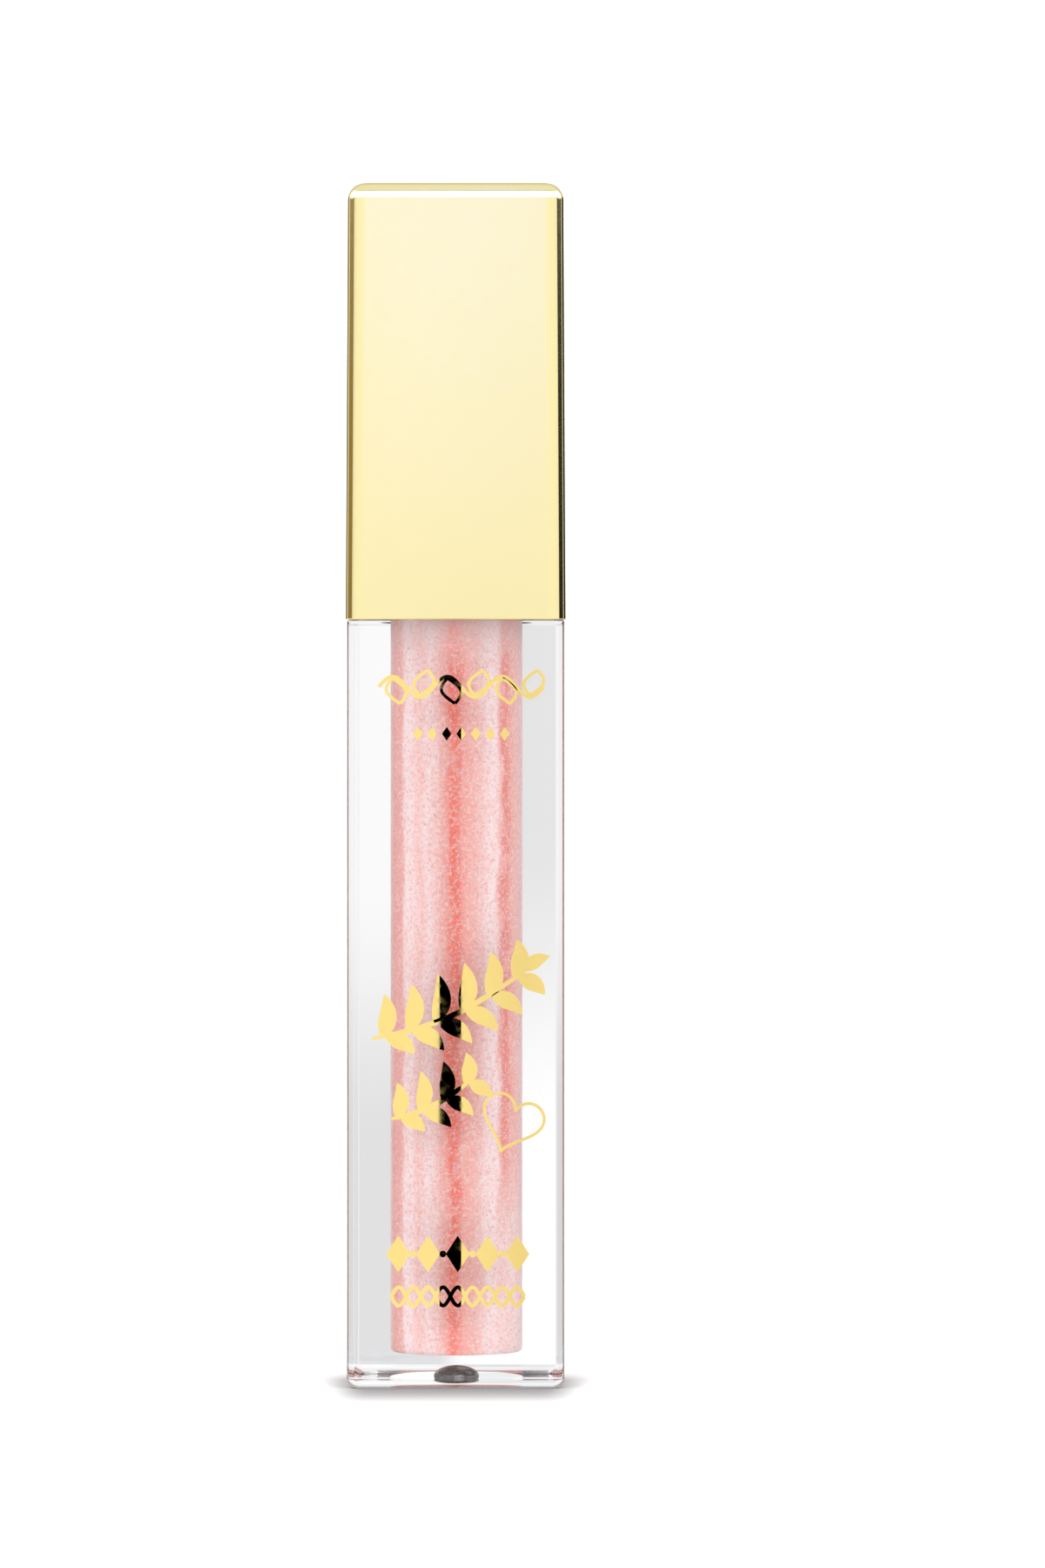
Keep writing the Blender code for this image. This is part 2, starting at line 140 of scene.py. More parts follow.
def arc(center_r, center_z, radius, start_deg, end_deg, steps=8):
    """Points (r, z) of an arc, both ends included."""
    angles = [math.radians(start_deg + (end_deg - start_deg) * i / steps) for i in range(steps + 1)]
    return [(center_r + radius * math.cos(a), center_z + radius * math.sin(a)) for a in angles]


def turned(name, profile, material=None):
    """Spin a profile of (r, z) points about the Z axis."""
    bm = bmesh.new()
    verts = [bm.verts.new((r, 0.0, z)) for r, z in profile]
    edges = [bm.edges.new(pair) for pair in zip(verts, verts[1:])]
    bmesh.ops.spin(
        bm, geom=verts + edges, cent=(0, 0, 0), axis=(0, 0, 1),
        angle=math.tau, steps=ROUND_SEGMENTS, use_merge=True,
    )
    bmesh.ops.remove_doubles(bm, verts=bm.verts, dist=1e-7)
    return object_from_bmesh(bm, name, material)


def soft_square(half, corner_r, z, roll_r=0.0, roll_deg=0.0, steps=10):
    """Points of a square with round corners, anticlockwise seen from above.

    Near each corner the flat side may roll off gently (radius roll_r, angle
    roll_deg) before the tight corner begins.
    """
    roll = math.radians(roll_deg)
    reach = (
        roll_r * (1 - math.cos(roll)) + corner_r * (math.cos(roll) - math.cos(math.pi / 4))
        + roll_r * math.sin(roll) + corner_r * (math.sin(math.pi / 4) - math.sin(roll))
    )
    flat = half - reach
    eighth = [(flat, -half)]
    if roll > 0:
        roll_steps = 4
        for i in range(1, roll_steps + 1):
            a = roll * i / roll_steps
            eighth.append((flat + roll_r * math.sin(a), -half + roll_r * (1 - math.cos(a))))
    x0, y0 = eighth[-1]
    for i in range(1, steps // 2 + 1):
        a = roll + (math.pi / 4 - roll) * i / (steps // 2)
        eighth.append((
            x0 + corner_r * (math.sin(a) - math.sin(roll)),
            y0 + corner_r * (math.cos(roll) - math.cos(a)),
        ))
    corner = eighth + [(-y, -x) for x, y in reversed(eighth[:-1])]
    points = []
    for c, s in ((1, 0), (0, 1), (-1, 0), (0, -1)):
        points += [(c * x - s * y, s * x + c * y, z) for x, y in corner]
    return points


def lofted(name, rings, material=None):
    """Skin a stack of rings, bottom to top, and close both ends."""
    bm = bmesh.new()
    loops = [[bm.verts.new(point) for point in ring] for ring in rings]
    for lower, upper in zip(loops, loops[1:]):
        count = len(lower)
        for i in range(count):
            j = (i + 1) % count
            bm.faces.new((lower[i], lower[j], upper[j], upper[i]))
    bm.faces.new(list(reversed(loops[0])))
    bm.faces.new(loops[-1])
    return object_from_bmesh(bm, name, material)


def box(name, low, high):
    """A box between two opposite corners."""
    corners = [(low[0], low[1]), (high[0], low[1]), (high[0], high[1]), (low[0], high[1])]
    return lofted(name, [[(x, y, z) for x, y in corners] for z in (low[2], high[2])])


def edge_insets(radius, steps):
    """(inset, height) pairs up a quarter round, from its flat end to its full width."""
    angles = [math.radians(90 * i / steps) for i in range(steps + 1)]
    return [(radius * (1 - math.sin(a)), radius * (1 - math.cos(a))) for a in angles]


def combine(obj, tool, operation):
    """Boolean obj with tool, keep the result as obj's mesh and remove the tool."""
    modifier = obj.modifiers.new(tool.name, "BOOLEAN")
    modifier.operation = operation
    modifier.solver = "EXACT"
    modifier.object = tool
    depsgraph = bpy.context.evaluated_depsgraph_get()
    made = bpy.data.meshes.new_from_object(obj.evaluated_get(depsgraph))
    obj.modifiers.clear()
    obj.data = made
    bpy.data.objects.remove(tool, do_unlink=True)


def finish_surface(obj):
    """Smooth shading that keeps flat faces flat and hard edges hard."""
    obj.data.shade_smooth()
    obj.data.set_sharp_from_angle(angle=math.radians(SHARP_EDGE_DEG))
    modifier = obj.modifiers.new("weighted_normals", "WEIGHTED_NORMAL")
    modifier.keep_sharp = True
    modifier.weight = 80


# ------------------------------------------------------------ material helpers

class Graph:
    """A small wrapper that adds nodes and links in one call."""

    def __init__(self, tree):
        self.tree = tree

    def add(self, kind, inputs=None, **settings):
        node = self.tree.nodes.new(kind)
        for key, value in settings.items():
            setattr(node, key, value)
        for key, value in (inputs or {}).items():
            if isinstance(value, bpy.types.NodeSocket):
                self.tree.links.new(value, node.inputs[key])
            else:
                node.inputs[key].default_value = value
        return node

    def math(self, operation, a, b=0.0, clamp=False):
        node = self.add("ShaderNodeMath", {0: a, 1: b}, operation=operation, use_clamp=clamp)
        return node.outputs[0]

    def ramp(self, value, low, high, to_low=0.0, to_high=1.0):
        """A smooth step of value between low and high."""
        node = self.add("ShaderNodeMapRange", {
            "Value": value, "From Min": low, "From Max": high, "To Min": to_low, "To Max": to_high,
        }, interpolation_type="SMOOTHSTEP")
        return node.outputs["Result"]

    def window(self, value, low, high, soft):
        """1 between low and high, 0 outside, with soft edges."""
        rise = self.ramp(value, low - soft, low + soft)
        fall = self.ramp(value, high - soft, high + soft, 1.0, 0.0)
        return self.math("MULTIPLY", rise, fall)

    def mix(self, factor, a, b):
        """A colour mix."""
        node = self.add("ShaderNodeMix", {0: factor, 6: a, 7: b}, data_type="RGBA")
        return node.outputs[2]

    def mix_value(self, factor, a, b):
        """A mix of two numbers."""
        node = self.add("ShaderNodeMix", {0: factor, 2: a, 3: b})
        return node.outputs[0]

    def paint(self, level, mask, value):
        """The number level, replaced by value where mask is 1."""
        return self.mix_value(mask, level, value)

    def colors(self, value, stops):
        """A colour ramp through (position, (r, g, b)) stops."""
        node = self.add("ShaderNodeValToRGB", {0: value})
        elements = node.color_ramp.elements
        while len(elements) < len(stops):
            elements.new(0.5)
        for element, (position, color) in zip(elements, stops):
            element.position = position
            element.color = (*color, 1.0)
        return node.outputs["Color"]

    def noise(self, vector, scale, detail=2.0, roughness=0.5):
        node = self.add("ShaderNodeTexNoise", {
            "Vector": vector, "Scale": scale, "Detail": detail, "Roughness": roughness,
        })
        return node.outputs["Fac"]

    def stretched(self, vector, scale):
        node = self.add("ShaderNodeMapping", {"Vector": vector, "Scale": scale})
        return node.outputs["Vector"]

    def place(self):
        """Object coordinates, which are metres in the CAD frame."""
        return self.add("ShaderNodeTexCoord").outputs["Object"]

    def bump(self, height, strength, distance):
        node = self.add("ShaderNodeBump", {
            "Height": height, "Strength": strength, "Distance": distance,
        })
        return node.outputs["Normal"]


def principled(name, **values):
    """A new material, as the graph to build on and its Principled BSDF.

    Underscores in a keyword stand for the spaces in the socket's name.
    """
    material = bpy.data.materials.new(name)
    material.use_nodes = True
    graph = Graph(material.node_tree)
    shader = material.node_tree.nodes["Principled BSDF"]
    for key, value in values.items():
        shader.inputs[key.replace("_", " ")].default_value = value
    return material, graph, shader


def wire(graph, shader, **sockets):
    """Link sockets into the shader, by names as in principled()."""
    for key, socket in sockets.items():
        graph.tree.links.new(socket, shader.inputs[key.replace("_", " ")])


# -------------------------------------------------------------------- materials

def clear_plastic():
    """Clear acrylic, with painted shade where it is seen at a grazing angle: its colour turns grey there,
    for the grey lines along its edges.
    """
    material, graph, shader = principled(
        "clear_plastic", Base_Color=(1.0, 1.0, 1.0, 1.0), Transmission_Weight=1.0, IOR=1.5,
    )
    place = graph.place()
    haze = graph.noise(place, 260.0, 3.0)
    grazing = graph.add("ShaderNodeLayerWeight", {"Blend": 0.5}).outputs["Facing"]
    # Painted shade: the colour darkens to grey as the view grazes the surface.
    edge = graph.ramp(grazing, 0.30, 0.55)
    wire(
        graph, shader, Base_Color=graph.mix(edge, (1.0, 1.0, 1.0, 1.0), (0.16, 0.16, 0.16, 1.0)),
        Roughness=graph.ramp(haze, 0.3, 0.8, 0.0, 0.025),
    )
    return material


def gate_mark():
    """The sheared dimple under the base where the moulding gate was cut, coloured in painted shade: near
    black, with paler painted highlights along its tears.
    """
    material, graph, shader = principled("gate_mark", IOR=1.5)
    place = graph.place()
    tear_and_shade = graph.noise(graph.stretched(place, (1.0, 1.0, 3.0)), 900.0, 4.0, 0.7)
    # Painted shade and highlight: the colour runs from near black to pale grey streaks.
    wire(
        graph, shader, Base_Color=graph.colors(tear_and_shade, [
            (0.35, (0.03, 0.03, 0.03)), (0.52, (0.08, 0.08, 0.08)), (0.66, (0.45, 0.45, 0.45)),
        ]),
        Roughness=graph.ramp(tear_and_shade, 0.3, 0.7, 0.25, 0.5),
        Normal=graph.bump(tear_and_shade, 0.3, 0.05 * MM),
    )
    return material


def gold_plating():
    """Smooth pale gold with a faint cloud and orange peel."""
    material, graph, shader = principled("gold_plating", Metallic=1.0)
    place = graph.place()
    cloud = graph.noise(place, 60.0, 3.0)
    tint = graph.mix(cloud, (0.955, 0.83, 0.42, 1.0), (0.965, 0.85, 0.45, 1.0))
    mottle = graph.noise(place, 900.0, 2.0)
    rough = graph.ramp(mottle, 0.2, 0.8, 0.10, 0.12)
    peel = graph.noise(place, 450.0, 2.0)
    wire(
        graph, shader, Base_Color=tint, Roughness=rough,
        Normal=graph.bump(peel, 0.015, 0.02 * MM),
    )
    return material


def foil_print():
    """Mirror-like gold foil with a fine grain."""
    material, graph, shader = principled("foil_print", Metallic=1.0)
    place = graph.place()
    grain = graph.noise(place, 1500.0, 2.0)
    tint = graph.mix(grain, (0.97, 0.73, 0.24, 1.0), (1.0, 0.77, 0.28, 1.0))
    wire(
        graph, shader, Base_Color=tint,
        Roughness=graph.ramp(grain, 0.3, 0.7, 0.0, 0.02),
    )
    return material


def gloss_gel():
    """Coral gel full of fine glitter, in vertical streaks round the bore. Its pale streaks are partly
    painted highlights, and its top is made paler by painted light.
    """
    material, graph, shader = principled(
        "gloss_gel", Specular_IOR_Level=0.1, Roughness=0.5,
    )
    place = graph.place()
    x, y, z = graph.add("ShaderNodeSeparateXYZ", {0: place}).outputs
    back = graph.math("MULTIPLY", y, -1.0)
    turn = graph.math("ARCTAN2", x, back)
    wobble = graph.noise(graph.stretched(place, (1.0, 1.0, 0.35)), 420.0, 3.0, 0.6)
    wander = graph.math("MULTIPLY", graph.math("SUBTRACT", wobble, 0.5), 0.30)
    around = graph.math("DIVIDE", graph.math("ADD", turn, wander), math.tau)
    around = graph.math("ADD", around, 0.5, clamp=True)
    band = (0.77, 0.24, 0.20)
    salmon = (0.83, 0.38, 0.34)
    coral = (0.91, 0.21, 0.155)
    rose = (0.90, 0.38, 0.33)
    pink = (0.88, 0.54, 0.51)
    pale = (0.90, 0.72, 0.72)
    # Partly painted highlights: the pale stops stand for the glitter's bright bands as well as its streaks
    # of colour.
    streaks_and_highlights = graph.colors(around, [
        (0.0, coral), (0.05, rose), (0.11, pale), (0.17, pink), (0.21, band),
        (0.25, pale), (0.275, pale), (0.305, salmon), (0.345, salmon), (0.36, pale), (0.385, pale),
        (0.41, pink), (0.43, pale), (0.452, pink), (0.475, rose), (0.487, coral), (0.503, coral),
        (0.525, rose), (0.56, pink), (0.58, pale), (0.605, pale), (0.622, band), (0.642, band),
        (0.655, salmon), (0.69, pink), (0.73, pale), (0.80, coral), (0.85, rose), (0.90, pale),
        (0.95, pink), (1.0, coral),
    ])
    low_right = graph.math(
        "MULTIPLY", graph.ramp(z, 22 * MM, 12 * MM, 0.0, 0.8), graph.window(around, 0.605, 0.78, 0.02),
    )
    streaks_and_highlights = graph.mix(low_right, streaks_and_highlights, (0.89, 0.74, 0.73, 1.0))
    blotch = graph.noise(graph.stretched(place, (1.0, 1.0, 0.5)), 900.0, 3.0, 0.7)
    streaks_and_highlights = graph.mix(graph.ramp(blotch, 0.45, 0.72, 0.0, 0.55), streaks_and_highlights, (0.88, 0.54, 0.50, 1.0))
    speck = graph.noise(place, 3300.0, 3.0, 0.8)
    streaks_and_highlights = graph.mix(graph.ramp(speck, 0.48, 0.62, 0.0, 0.44), streaks_and_highlights, (0.93, 0.86, 0.86, 1.0))
    rosy = graph.noise(graph.stretched(place, (1.1, 1.1, 1.1)), 2900.0, 3.0, 0.8)
    streaks_and_highlights = graph.mix(graph.ramp(rosy, 0.50, 0.62, 0.0, 0.5), streaks_and_highlights, (0.85, 0.30, 0.27, 1.0))
    violet = graph.noise(graph.stretched(place, (0.9, 0.9, 0.9)), 4300.0, 1.0)
    streaks_and_highlights = graph.mix(graph.ramp(violet, 0.60, 0.70, 0.0, 0.4), streaks_and_highlights, (0.52, 0.34, 0.42, 1.0))
    # Painted light: the gel is made paler towards its top, where the cap shades it.
    painted_light_under_cap = graph.ramp(z, 62.5 * MM, 67.0 * MM, 0.0, 0.35)
    streaks_and_highlights = graph.mix(painted_light_under_cap, streaks_and_highlights, (1.0, 0.78, 0.76, 1.0))
    wire(graph, shader, Base_Color=streaks_and_highlights)
    return material


def glitter_flakes():
    """Shiny flakes in pink, white and peach."""
    material, graph, shader = principled("glitter_flakes", Metallic=0.7, Roughness=0.3)
    place = graph.place()
    cell = graph.noise(place, 2400.0, 1.0)
    tint = graph.colors(cell, [
        (0.30, (1.0, 0.55, 0.50)), (0.45, (1.0, 0.90, 0.90)), (0.55, (0.98, 0.92, 1.0)),
        (0.68, (1.0, 0.72, 0.45)),
    ])
    wire(graph, shader, Base_Color=tint)
    return material


def stem_plastic():
    """Glossy black plastic, faintly drawn along its length."""
    material, graph, shader = principled(
        "stem_plastic", Coat_Weight=0.4, Coat_Roughness=0.08, Specular_IOR_Level=0.6,
    )
    place = graph.place()
    lines = graph.noise(graph.stretched(place, (1.0, 1.0, 0.02)), 1500.0, 2.0)
    tint = graph.mix(lines, (0.010, 0.010, 0.011, 1.0), (0.016, 0.016, 0.017, 1.0))
    wire(
        graph, shader, Base_Color=tint, Roughness=graph.ramp(lines, 0.2, 0.8, 0.12, 0.24),
        Normal=graph.bump(lines, 0.05, 0.01 * MM),
    )
    return material


def flock():
    """Pink flocking, peach on one side of its tip and dark red in a ring at its top."""
    material, graph, shader = principled(
        "flock", Roughness=0.95, Sheen_Weight=0.15, Sheen_Roughness=0.4,
    )
    place = graph.place()
    split = graph.add("ShaderNodeSeparateXYZ", {0: place})
    x = split.outputs["X"]
    z = split.outputs["Z"]
    tuft = graph.noise(place, 2600.0, 3.0, 0.7)
    tint = graph.mix(tuft, (0.66, 0.26, 0.47, 1.0), (0.78, 0.52, 0.66, 1.0))
    low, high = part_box("tip_flock")
    peach = graph.math(
        "MULTIPLY", graph.ramp(z, low.z + 6.0 * MM, low.z), graph.ramp(x, 1.0 * MM, -1.5 * MM),
    )
    tint = graph.mix(peach, tint, (0.80, 0.50, 0.44, 1.0))
    ring = graph.ramp(
        graph.math("ADD", z, graph.math("MULTIPLY", tuft, 0.6 * MM)), high.z - 0.35 * MM, high.z + 0.25 * MM,
    )
    tint = graph.mix(ring, tint, (0.28, 0.015, 0.10, 1.0))
    wire(graph, shader, Base_Color=tint, Normal=graph.bump(tuft, 0.5, 0.08 * MM))
    return material


def moulded(name, color, shade, roughness, grain, subsurface=0.0):
    """A plain moulded plastic or rubber that varies from color to shade, with a fine grain."""
    material, graph, shader = principled(
        name, Subsurface_Weight=subsurface, Subsurface_Scale=0.5 * MM,
    )
    place = graph.place()
    cloud = graph.noise(place, 180.0, 3.0)
    fine = graph.noise(place, grain, 3.0, 0.6)
    wire(
        graph, shader, Base_Color=graph.mix(cloud, (*color, 1.0), (*shade, 1.0)),
        Roughness=graph.ramp(fine, 0.25, 0.75, roughness - 0.06, roughness + 0.06),
        Normal=graph.bump(fine, 0.15, 0.02 * MM),
    )
    return material


def gasket_foam():
    """Pale foam with small cells."""
    material, graph, shader = principled("gasket_foam")
    place = graph.place()
    cells = graph.add(
        "ShaderNodeTexVoronoi", {"Vector": place, "Scale": 5200.0}, feature="DISTANCE_TO_EDGE",
    ).outputs["Distance"]
    wall = graph.ramp(cells, 0.0, 0.12)
    wire(
        graph, shader, Base_Color=graph.mix(wall, (0.92, 0.92, 0.90, 1.0), (0.80, 0.80, 0.77, 1.0)),
        Roughness=graph.ramp(cells, 0.0, 0.3, 0.7, 0.9),
        Normal=graph.bump(wall, 0.4, 0.04 * MM),
    )
    return material


# ----------------------------------------------------------------------- bottle

def thread_ridge(name, root_r, crest_r, start_z, turns):
    """A rounded helical ridge that sinks back to its root at both ends."""
    bm = bmesh.new()
    steps = round(turns * ROUND_SEGMENTS)
    points = THREAD_OUTLINE_POINTS
    crest_share = THREAD_CREST_WIDTH / THREAD_FOOT_WIDTH
    sections = []
    for i in range(steps + 1):
        turn = turns * i / steps
        fade = min(1.0, turn / THREAD_FADE_TURNS, (turns - turn) / THREAD_FADE_TURNS)
        fade = max(math.sin(fade * math.pi / 2), 0.05)
        angle = math.tau * turn
        z = start_z + THREAD_PITCH * turn
        section = []
        for k in range(points):
            across = -1 + 2 * k / (points - 1)
            slope = min(1.0, (1 - abs(across)) / (1 - crest_share))
            r = root_r + (crest_r - root_r) * fade * math.sin(slope * math.pi / 2)
            height = z + across * THREAD_FOOT_WIDTH / 2
            section.append(bm.verts.new((r * math.cos(angle), r * math.sin(angle), height)))
        sections.append(section)
    for near, far in zip(sections, sections[1:]):
        for i in range(points):
            j = (i + 1) % points
            bm.faces.new((near[i], near[j], far[j], far[i]))
    bm.faces.new(sections[0])
    bm.faces.new(list(reversed(sections[-1])))
    return object_from_bmesh(bm, name)


def bore_floor(radius, drop):
    """The bore's floor and its rounded edge, from the axis outwards."""
    edge = BORE_FLOOR_EDGE_R
    level = BORE_FLOOR - drop
    return [(0, level)] + arc(radius - edge, level + edge, edge, -90, 0)


def foot_tool(beyond):
    """What is cut from the base: the round recess with the domed gate dimple in its middle."""
    edge = FOOT_RECESS_EDGE_R
    mark_steps = 14
    mark_angles = [math.radians(90 * i / mark_steps) for i in range(mark_steps)]
    return turned("foot_tool", [
        (0, -beyond),
        (FOOT_RECESS_R, -beyond),
        (FOOT_RECESS_R, FOOT_RECESS_DEPTH - edge),
        *arc(FOOT_RECESS_R - edge, FOOT_RECESS_DEPTH - edge, edge, 0, 90, 6)[1:],
        *[
            (GATE_MARK_R * math.cos(a), FOOT_RECESS_DEPTH + GATE_MARK_HEIGHT * math.sin(a))
            for a in mark_angles
        ],
        (0, FOOT_RECESS_DEPTH + GATE_MARK_HEIGHT),
    ])


def in_gate_mark(point):
    """Whether a point of the bottle's surface lies in the gate dimple."""
    above_recess = point.z > FOOT_RECESS_DEPTH + 0.01 * MM
    below_bore = point.z < BORE_FLOOR - 0.3 * MM
    return above_recess and below_bore and math.hypot(point.x, point.y) < GATE_MARK_R


def make_bottle(material, gate_material):
    """The clear square bottle: bore, threaded neck, recessed foot and gate dimple."""
    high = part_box("bottle")[1]
    half = high.x
    neck_top = high.z
    beyond = 1.0 * MM
    rings = [
        soft_square(half - inset, BODY_CORNER_R, height, steps=16)
        for inset, height in edge_insets(BASE_EDGE_R, 10)
    ]
    rings += [
        soft_square(half - inset, BODY_CORNER_R, BODY_TOP - height, steps=16)
        for inset, height in reversed(edge_insets(SHOULDER_EDGE_R, 6))
    ]
    bottle = lofted("bottle_clear", rings, material)
    combine(bottle, turned("neck_tool", [
        (0, BODY_TOP - beyond),
        (NECK_R, BODY_TOP - beyond),
        *arc(NECK_R - NECK_EDGE_R, neck_top - NECK_EDGE_R, NECK_EDGE_R, 0, 90),
        (0, neck_top),
    ]), "UNION")
    combine(bottle, thread_ridge(
        "thread_tool", NECK_R - 0.2 * MM, THREAD_CREST_R, THREAD_START, THREAD_TURNS,
    ), "UNION")
    combine(bottle, turned("bore_tool", [
        *bore_floor(BORE_R, 0.0),
        (BORE_R, neck_top + beyond),
        (0, neck_top + beyond),
    ]), "DIFFERENCE")
    combine(bottle, foot_tool(beyond), "DIFFERENCE")
    bottle.data.materials.append(gate_material)
    gate_index = len(bottle.data.materials) - 1
    for face in bottle.data.polygons:
        if in_gate_mark(face.center):
            face.material_index = gate_index
    finish_surface(bottle)
    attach(bottle, "bottle")
    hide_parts("bottle")


# ------------------------------------------------------------------------ gloss

def make_gloss(material):
    """The gel in the bore, with an open channel round the stem."""
    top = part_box("gloss_fill")[1].z
    radius = BORE_R + GLOSS_WETTING
    climb = 0.5 * MM
    foot = bore_floor(radius, GLOSS_WETTING)
    foot_top = foot[-1][1]
    wall_steps = 40
    walls = [
        (radius, foot_top + (top - climb - foot_top) * i / wall_steps)
        for i in range(1, wall_steps + 1)
    ]
    gloss = turned("gloss_gel_fill", [
        *foot,
        *walls,
        (radius - 0.15 * MM, top - climb),
        *arc(radius - 0.15 * MM - climb, top - climb, climb, 0, 90, 4)[1:],
        (GLOSS_CHANNEL_R + 0.3 * MM, top),
        (GLOSS_CHANNEL_R, top - 0.3 * MM),
        (GLOSS_CHANNEL_R, GLOSS_CHANNEL_FLOOR + 0.8 * MM),
        (GLOSS_CHANNEL_R - 0.8 * MM, GLOSS_CHANNEL_FLOOR),
        (0, GLOSS_CHANNEL_FLOOR),
    ], material)
    finish_surface(gloss)
    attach(gloss, "gloss")
    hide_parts("gloss_fill")


def make_flakes(material):
    """Flat six-sided glitter flakes just outside the gel, in the inner skin of the clear wall."""
    rng = random.Random(SEED)
    margin = 0.6 * MM
    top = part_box("gloss_fill")[1].z
    verts, faces = [], []
    for _ in range(FLAKE_COUNT):
        turn = rng.uniform(0, math.tau)
        z = rng.uniform(BORE_FLOOR + margin, top - margin)
        depth = rng.uniform(*FLAKE_DEPTHS)
        size = FLAKE_R * rng.uniform(*FLAKE_SIZES)
        out = Vector((math.sin(turn), -math.cos(turn), 0))
        center = out * (BORE_R + GLOSS_WETTING + depth) + Vector((0, 0, z))
        tilt = Vector([rng.gauss(0, FLAKE_TILT) for _ in range(3)])
        normal = (out + tilt).normalized()
        across = normal.orthogonal().normalized()
        up = normal.cross(across)
        first = len(verts)
        spin = rng.uniform(0, math.tau)
        for k in range(FLAKE_SIDES):
            a = spin + math.tau * k / FLAKE_SIDES
            verts.append(center + (across * math.cos(a) + up * math.sin(a)) * size)
        faces.append(tuple(range(first, first + FLAKE_SIDES)))
    mesh = bpy.data.meshes.new("glitter")
    mesh.from_pydata(verts, [], faces)
    mesh.materials.append(material)
    flakes = bpy.data.objects.new("gloss_glitter", mesh)
    bpy.context.scene.collection.objects.link(flakes)
    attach(flakes, "gloss")


# -------------------------------------------------------------------------- cap

def make_outer_cap(material):
    """The tall tapered gold shell, hollow, with four ribs that hold the inner cap.

    It is hidden from diffuse and transmission rays, so that little of its shade falls
    on the gloss below.
    """
    low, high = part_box("outer_cap")
    bottom_half = high.x

    def half_at(z):
        share = (z - low.z) / (high.z - low.z)
        return bottom_half + (CAP_TOP_HALF - bottom_half) * share

    def ring(z, inset):
        return soft_square(half_at(z) - inset, CAP_CORNER_R, z, CAP_ROLL_R, CAP_ROLL_DEG, steps=12)

    rings = [ring(low.z + height, inset) for inset, height in edge_insets(CAP_BOTTOM_EDGE_R, 4)]
    rings += [
        ring(high.z - height, inset) for inset, height in reversed(edge_insets(CAP_TOP_EDGE_R, 14))
    ]
    cap = lofted("outer_cap_gold", rings, material)
    hollow_top = high.z - CAP_TOP_WALL
    combine(cap, lofted("hollow_tool", [
        soft_square(half_at(z) - CAP_WALL, CAP_HOLLOW_CORNER_R, z)
        for z in (low.z - 1.0 * MM, hollow_top)
    ]), "DIFFERENCE")
    inner = half_at(CAP_RIB_BOTTOM) - CAP_WALL
    for index in range(4):
        rib = box(
            "rib_tool",
            (inner - CAP_RIB_DEPTH, -CAP_RIB_WIDTH / 2, CAP_RIB_BOTTOM),
            (inner + CAP_WALL / 2, CAP_RIB_WIDTH / 2, hollow_top + CAP_TOP_WALL / 2),
        )
        rib.data.transform(Matrix.Rotation(math.radians(90 * index), 4, "Z"))
        combine(cap, rib, "UNION")
    finish_surface(cap)
    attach(cap, "applicator")
    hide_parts("outer_cap")
    cap.visible_diffuse = False
    cap.visible_transmission = False


# ------------------------------------------------------------------- applicator

def make_stem(material):
    """The black rod with a round socket for the nib at its lower end."""
    low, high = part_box("stem")
    radius = high.x
    stem = turned("stem_rod", [
        (0, NIB_SOCKET_TOP),
        (NIB_SOCKET_R, NIB_SOCKET_TOP),
        (NIB_SOCKET_R, low.z),
        *arc(radius - STEM_EDGE_R, low.z + STEM_EDGE_R, STEM_EDGE_R, -90, 0, 5),
        *arc(radius - STEM_TOP_EDGE_R, high.z - STEM_TOP_EDGE_R, STEM_TOP_EDGE_R, 0, 90, 6),
        (0, high.z),
    ], material)
    finish_surface(stem)
    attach(stem, "applicator")
    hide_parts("stem")


def outward_triangles(source):
    """The triangles on the outside of the flocked skin, as (corners, normal), and their areas."""
    low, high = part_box("tip_flock")
    middle = (low + high) / 2
    tip_center_z = middle.z + 4 * MM
    source.calc_loop_triangles()
    patches, areas = [], []
    for triangle in source.loop_triangles:
        corners = [source.vertices[i].co for i in triangle.vertices]
        center = (corners[0] + corners[1] + corners[2]) / 3
        outward = center - Vector((middle.x, middle.y, min(center.z, tip_center_z)))
        if triangle.normal.dot(outward) > 0:
            patches.append((corners, triangle.normal.copy()))
            areas.append(triangle.area)
    return patches, areas


def make_fibres(source, material):
    """Short three-sided fibres that stand all over the flocked skin."""
    rng = random.Random(SEED)
    patches, areas = outward_triangles(source)
    verts, faces = [], []
    for corners, normal in rng.choices(patches, weights=areas, k=FIBRE_COUNT):
        u, v = sorted((rng.random(), rng.random()))
        root = corners[0] * u + corners[1] * (v - u) + corners[2] * (1 - v)
        lean = Vector([rng.gauss(0, FIBRE_LEAN) for _ in range(3)])
        along = (normal + lean).normalized()
        across = along.orthogonal().normalized() * FIBRE_WIDTH / 2
        tip = root + along * FIBRE_LENGTH * rng.uniform(0.45, 1.0)
        first = len(verts)
        for k in range(3):
            verts.append(root + Matrix.Rotation(math.tau * k / 3, 3, along) @ across)
        verts.append(tip)
        faces += [(first + k, first + (k + 1) % 3, first + 3) for k in range(3)]
    mesh = bpy.data.meshes.new("tip_flock_fibres")
    mesh.from_pydata(verts, [], faces)
    mesh.materials.append(material)
    fibres = bpy.data.objects.new("tip_flock_fibres", mesh)
    bpy.context.scene.collection.objects.link(fibres)
    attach(fibres, "applicator")


def make_tip_flock(material):
    """The flocked skin, smoothed, and its fibres."""
    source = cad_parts["tip_flock"].data
    skin = bpy.data.objects.new("tip_flock_skin", source.copy())
    bpy.context.scene.collection.objects.link(skin)
    skin.data.materials.clear()
    skin.data.materials.append(material)
    skin.data.shade_smooth()
    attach(skin, "applicator")
    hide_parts("tip_flock")
    make_fibres(source, material)


# --------------------------------------------------------------- foil ornaments

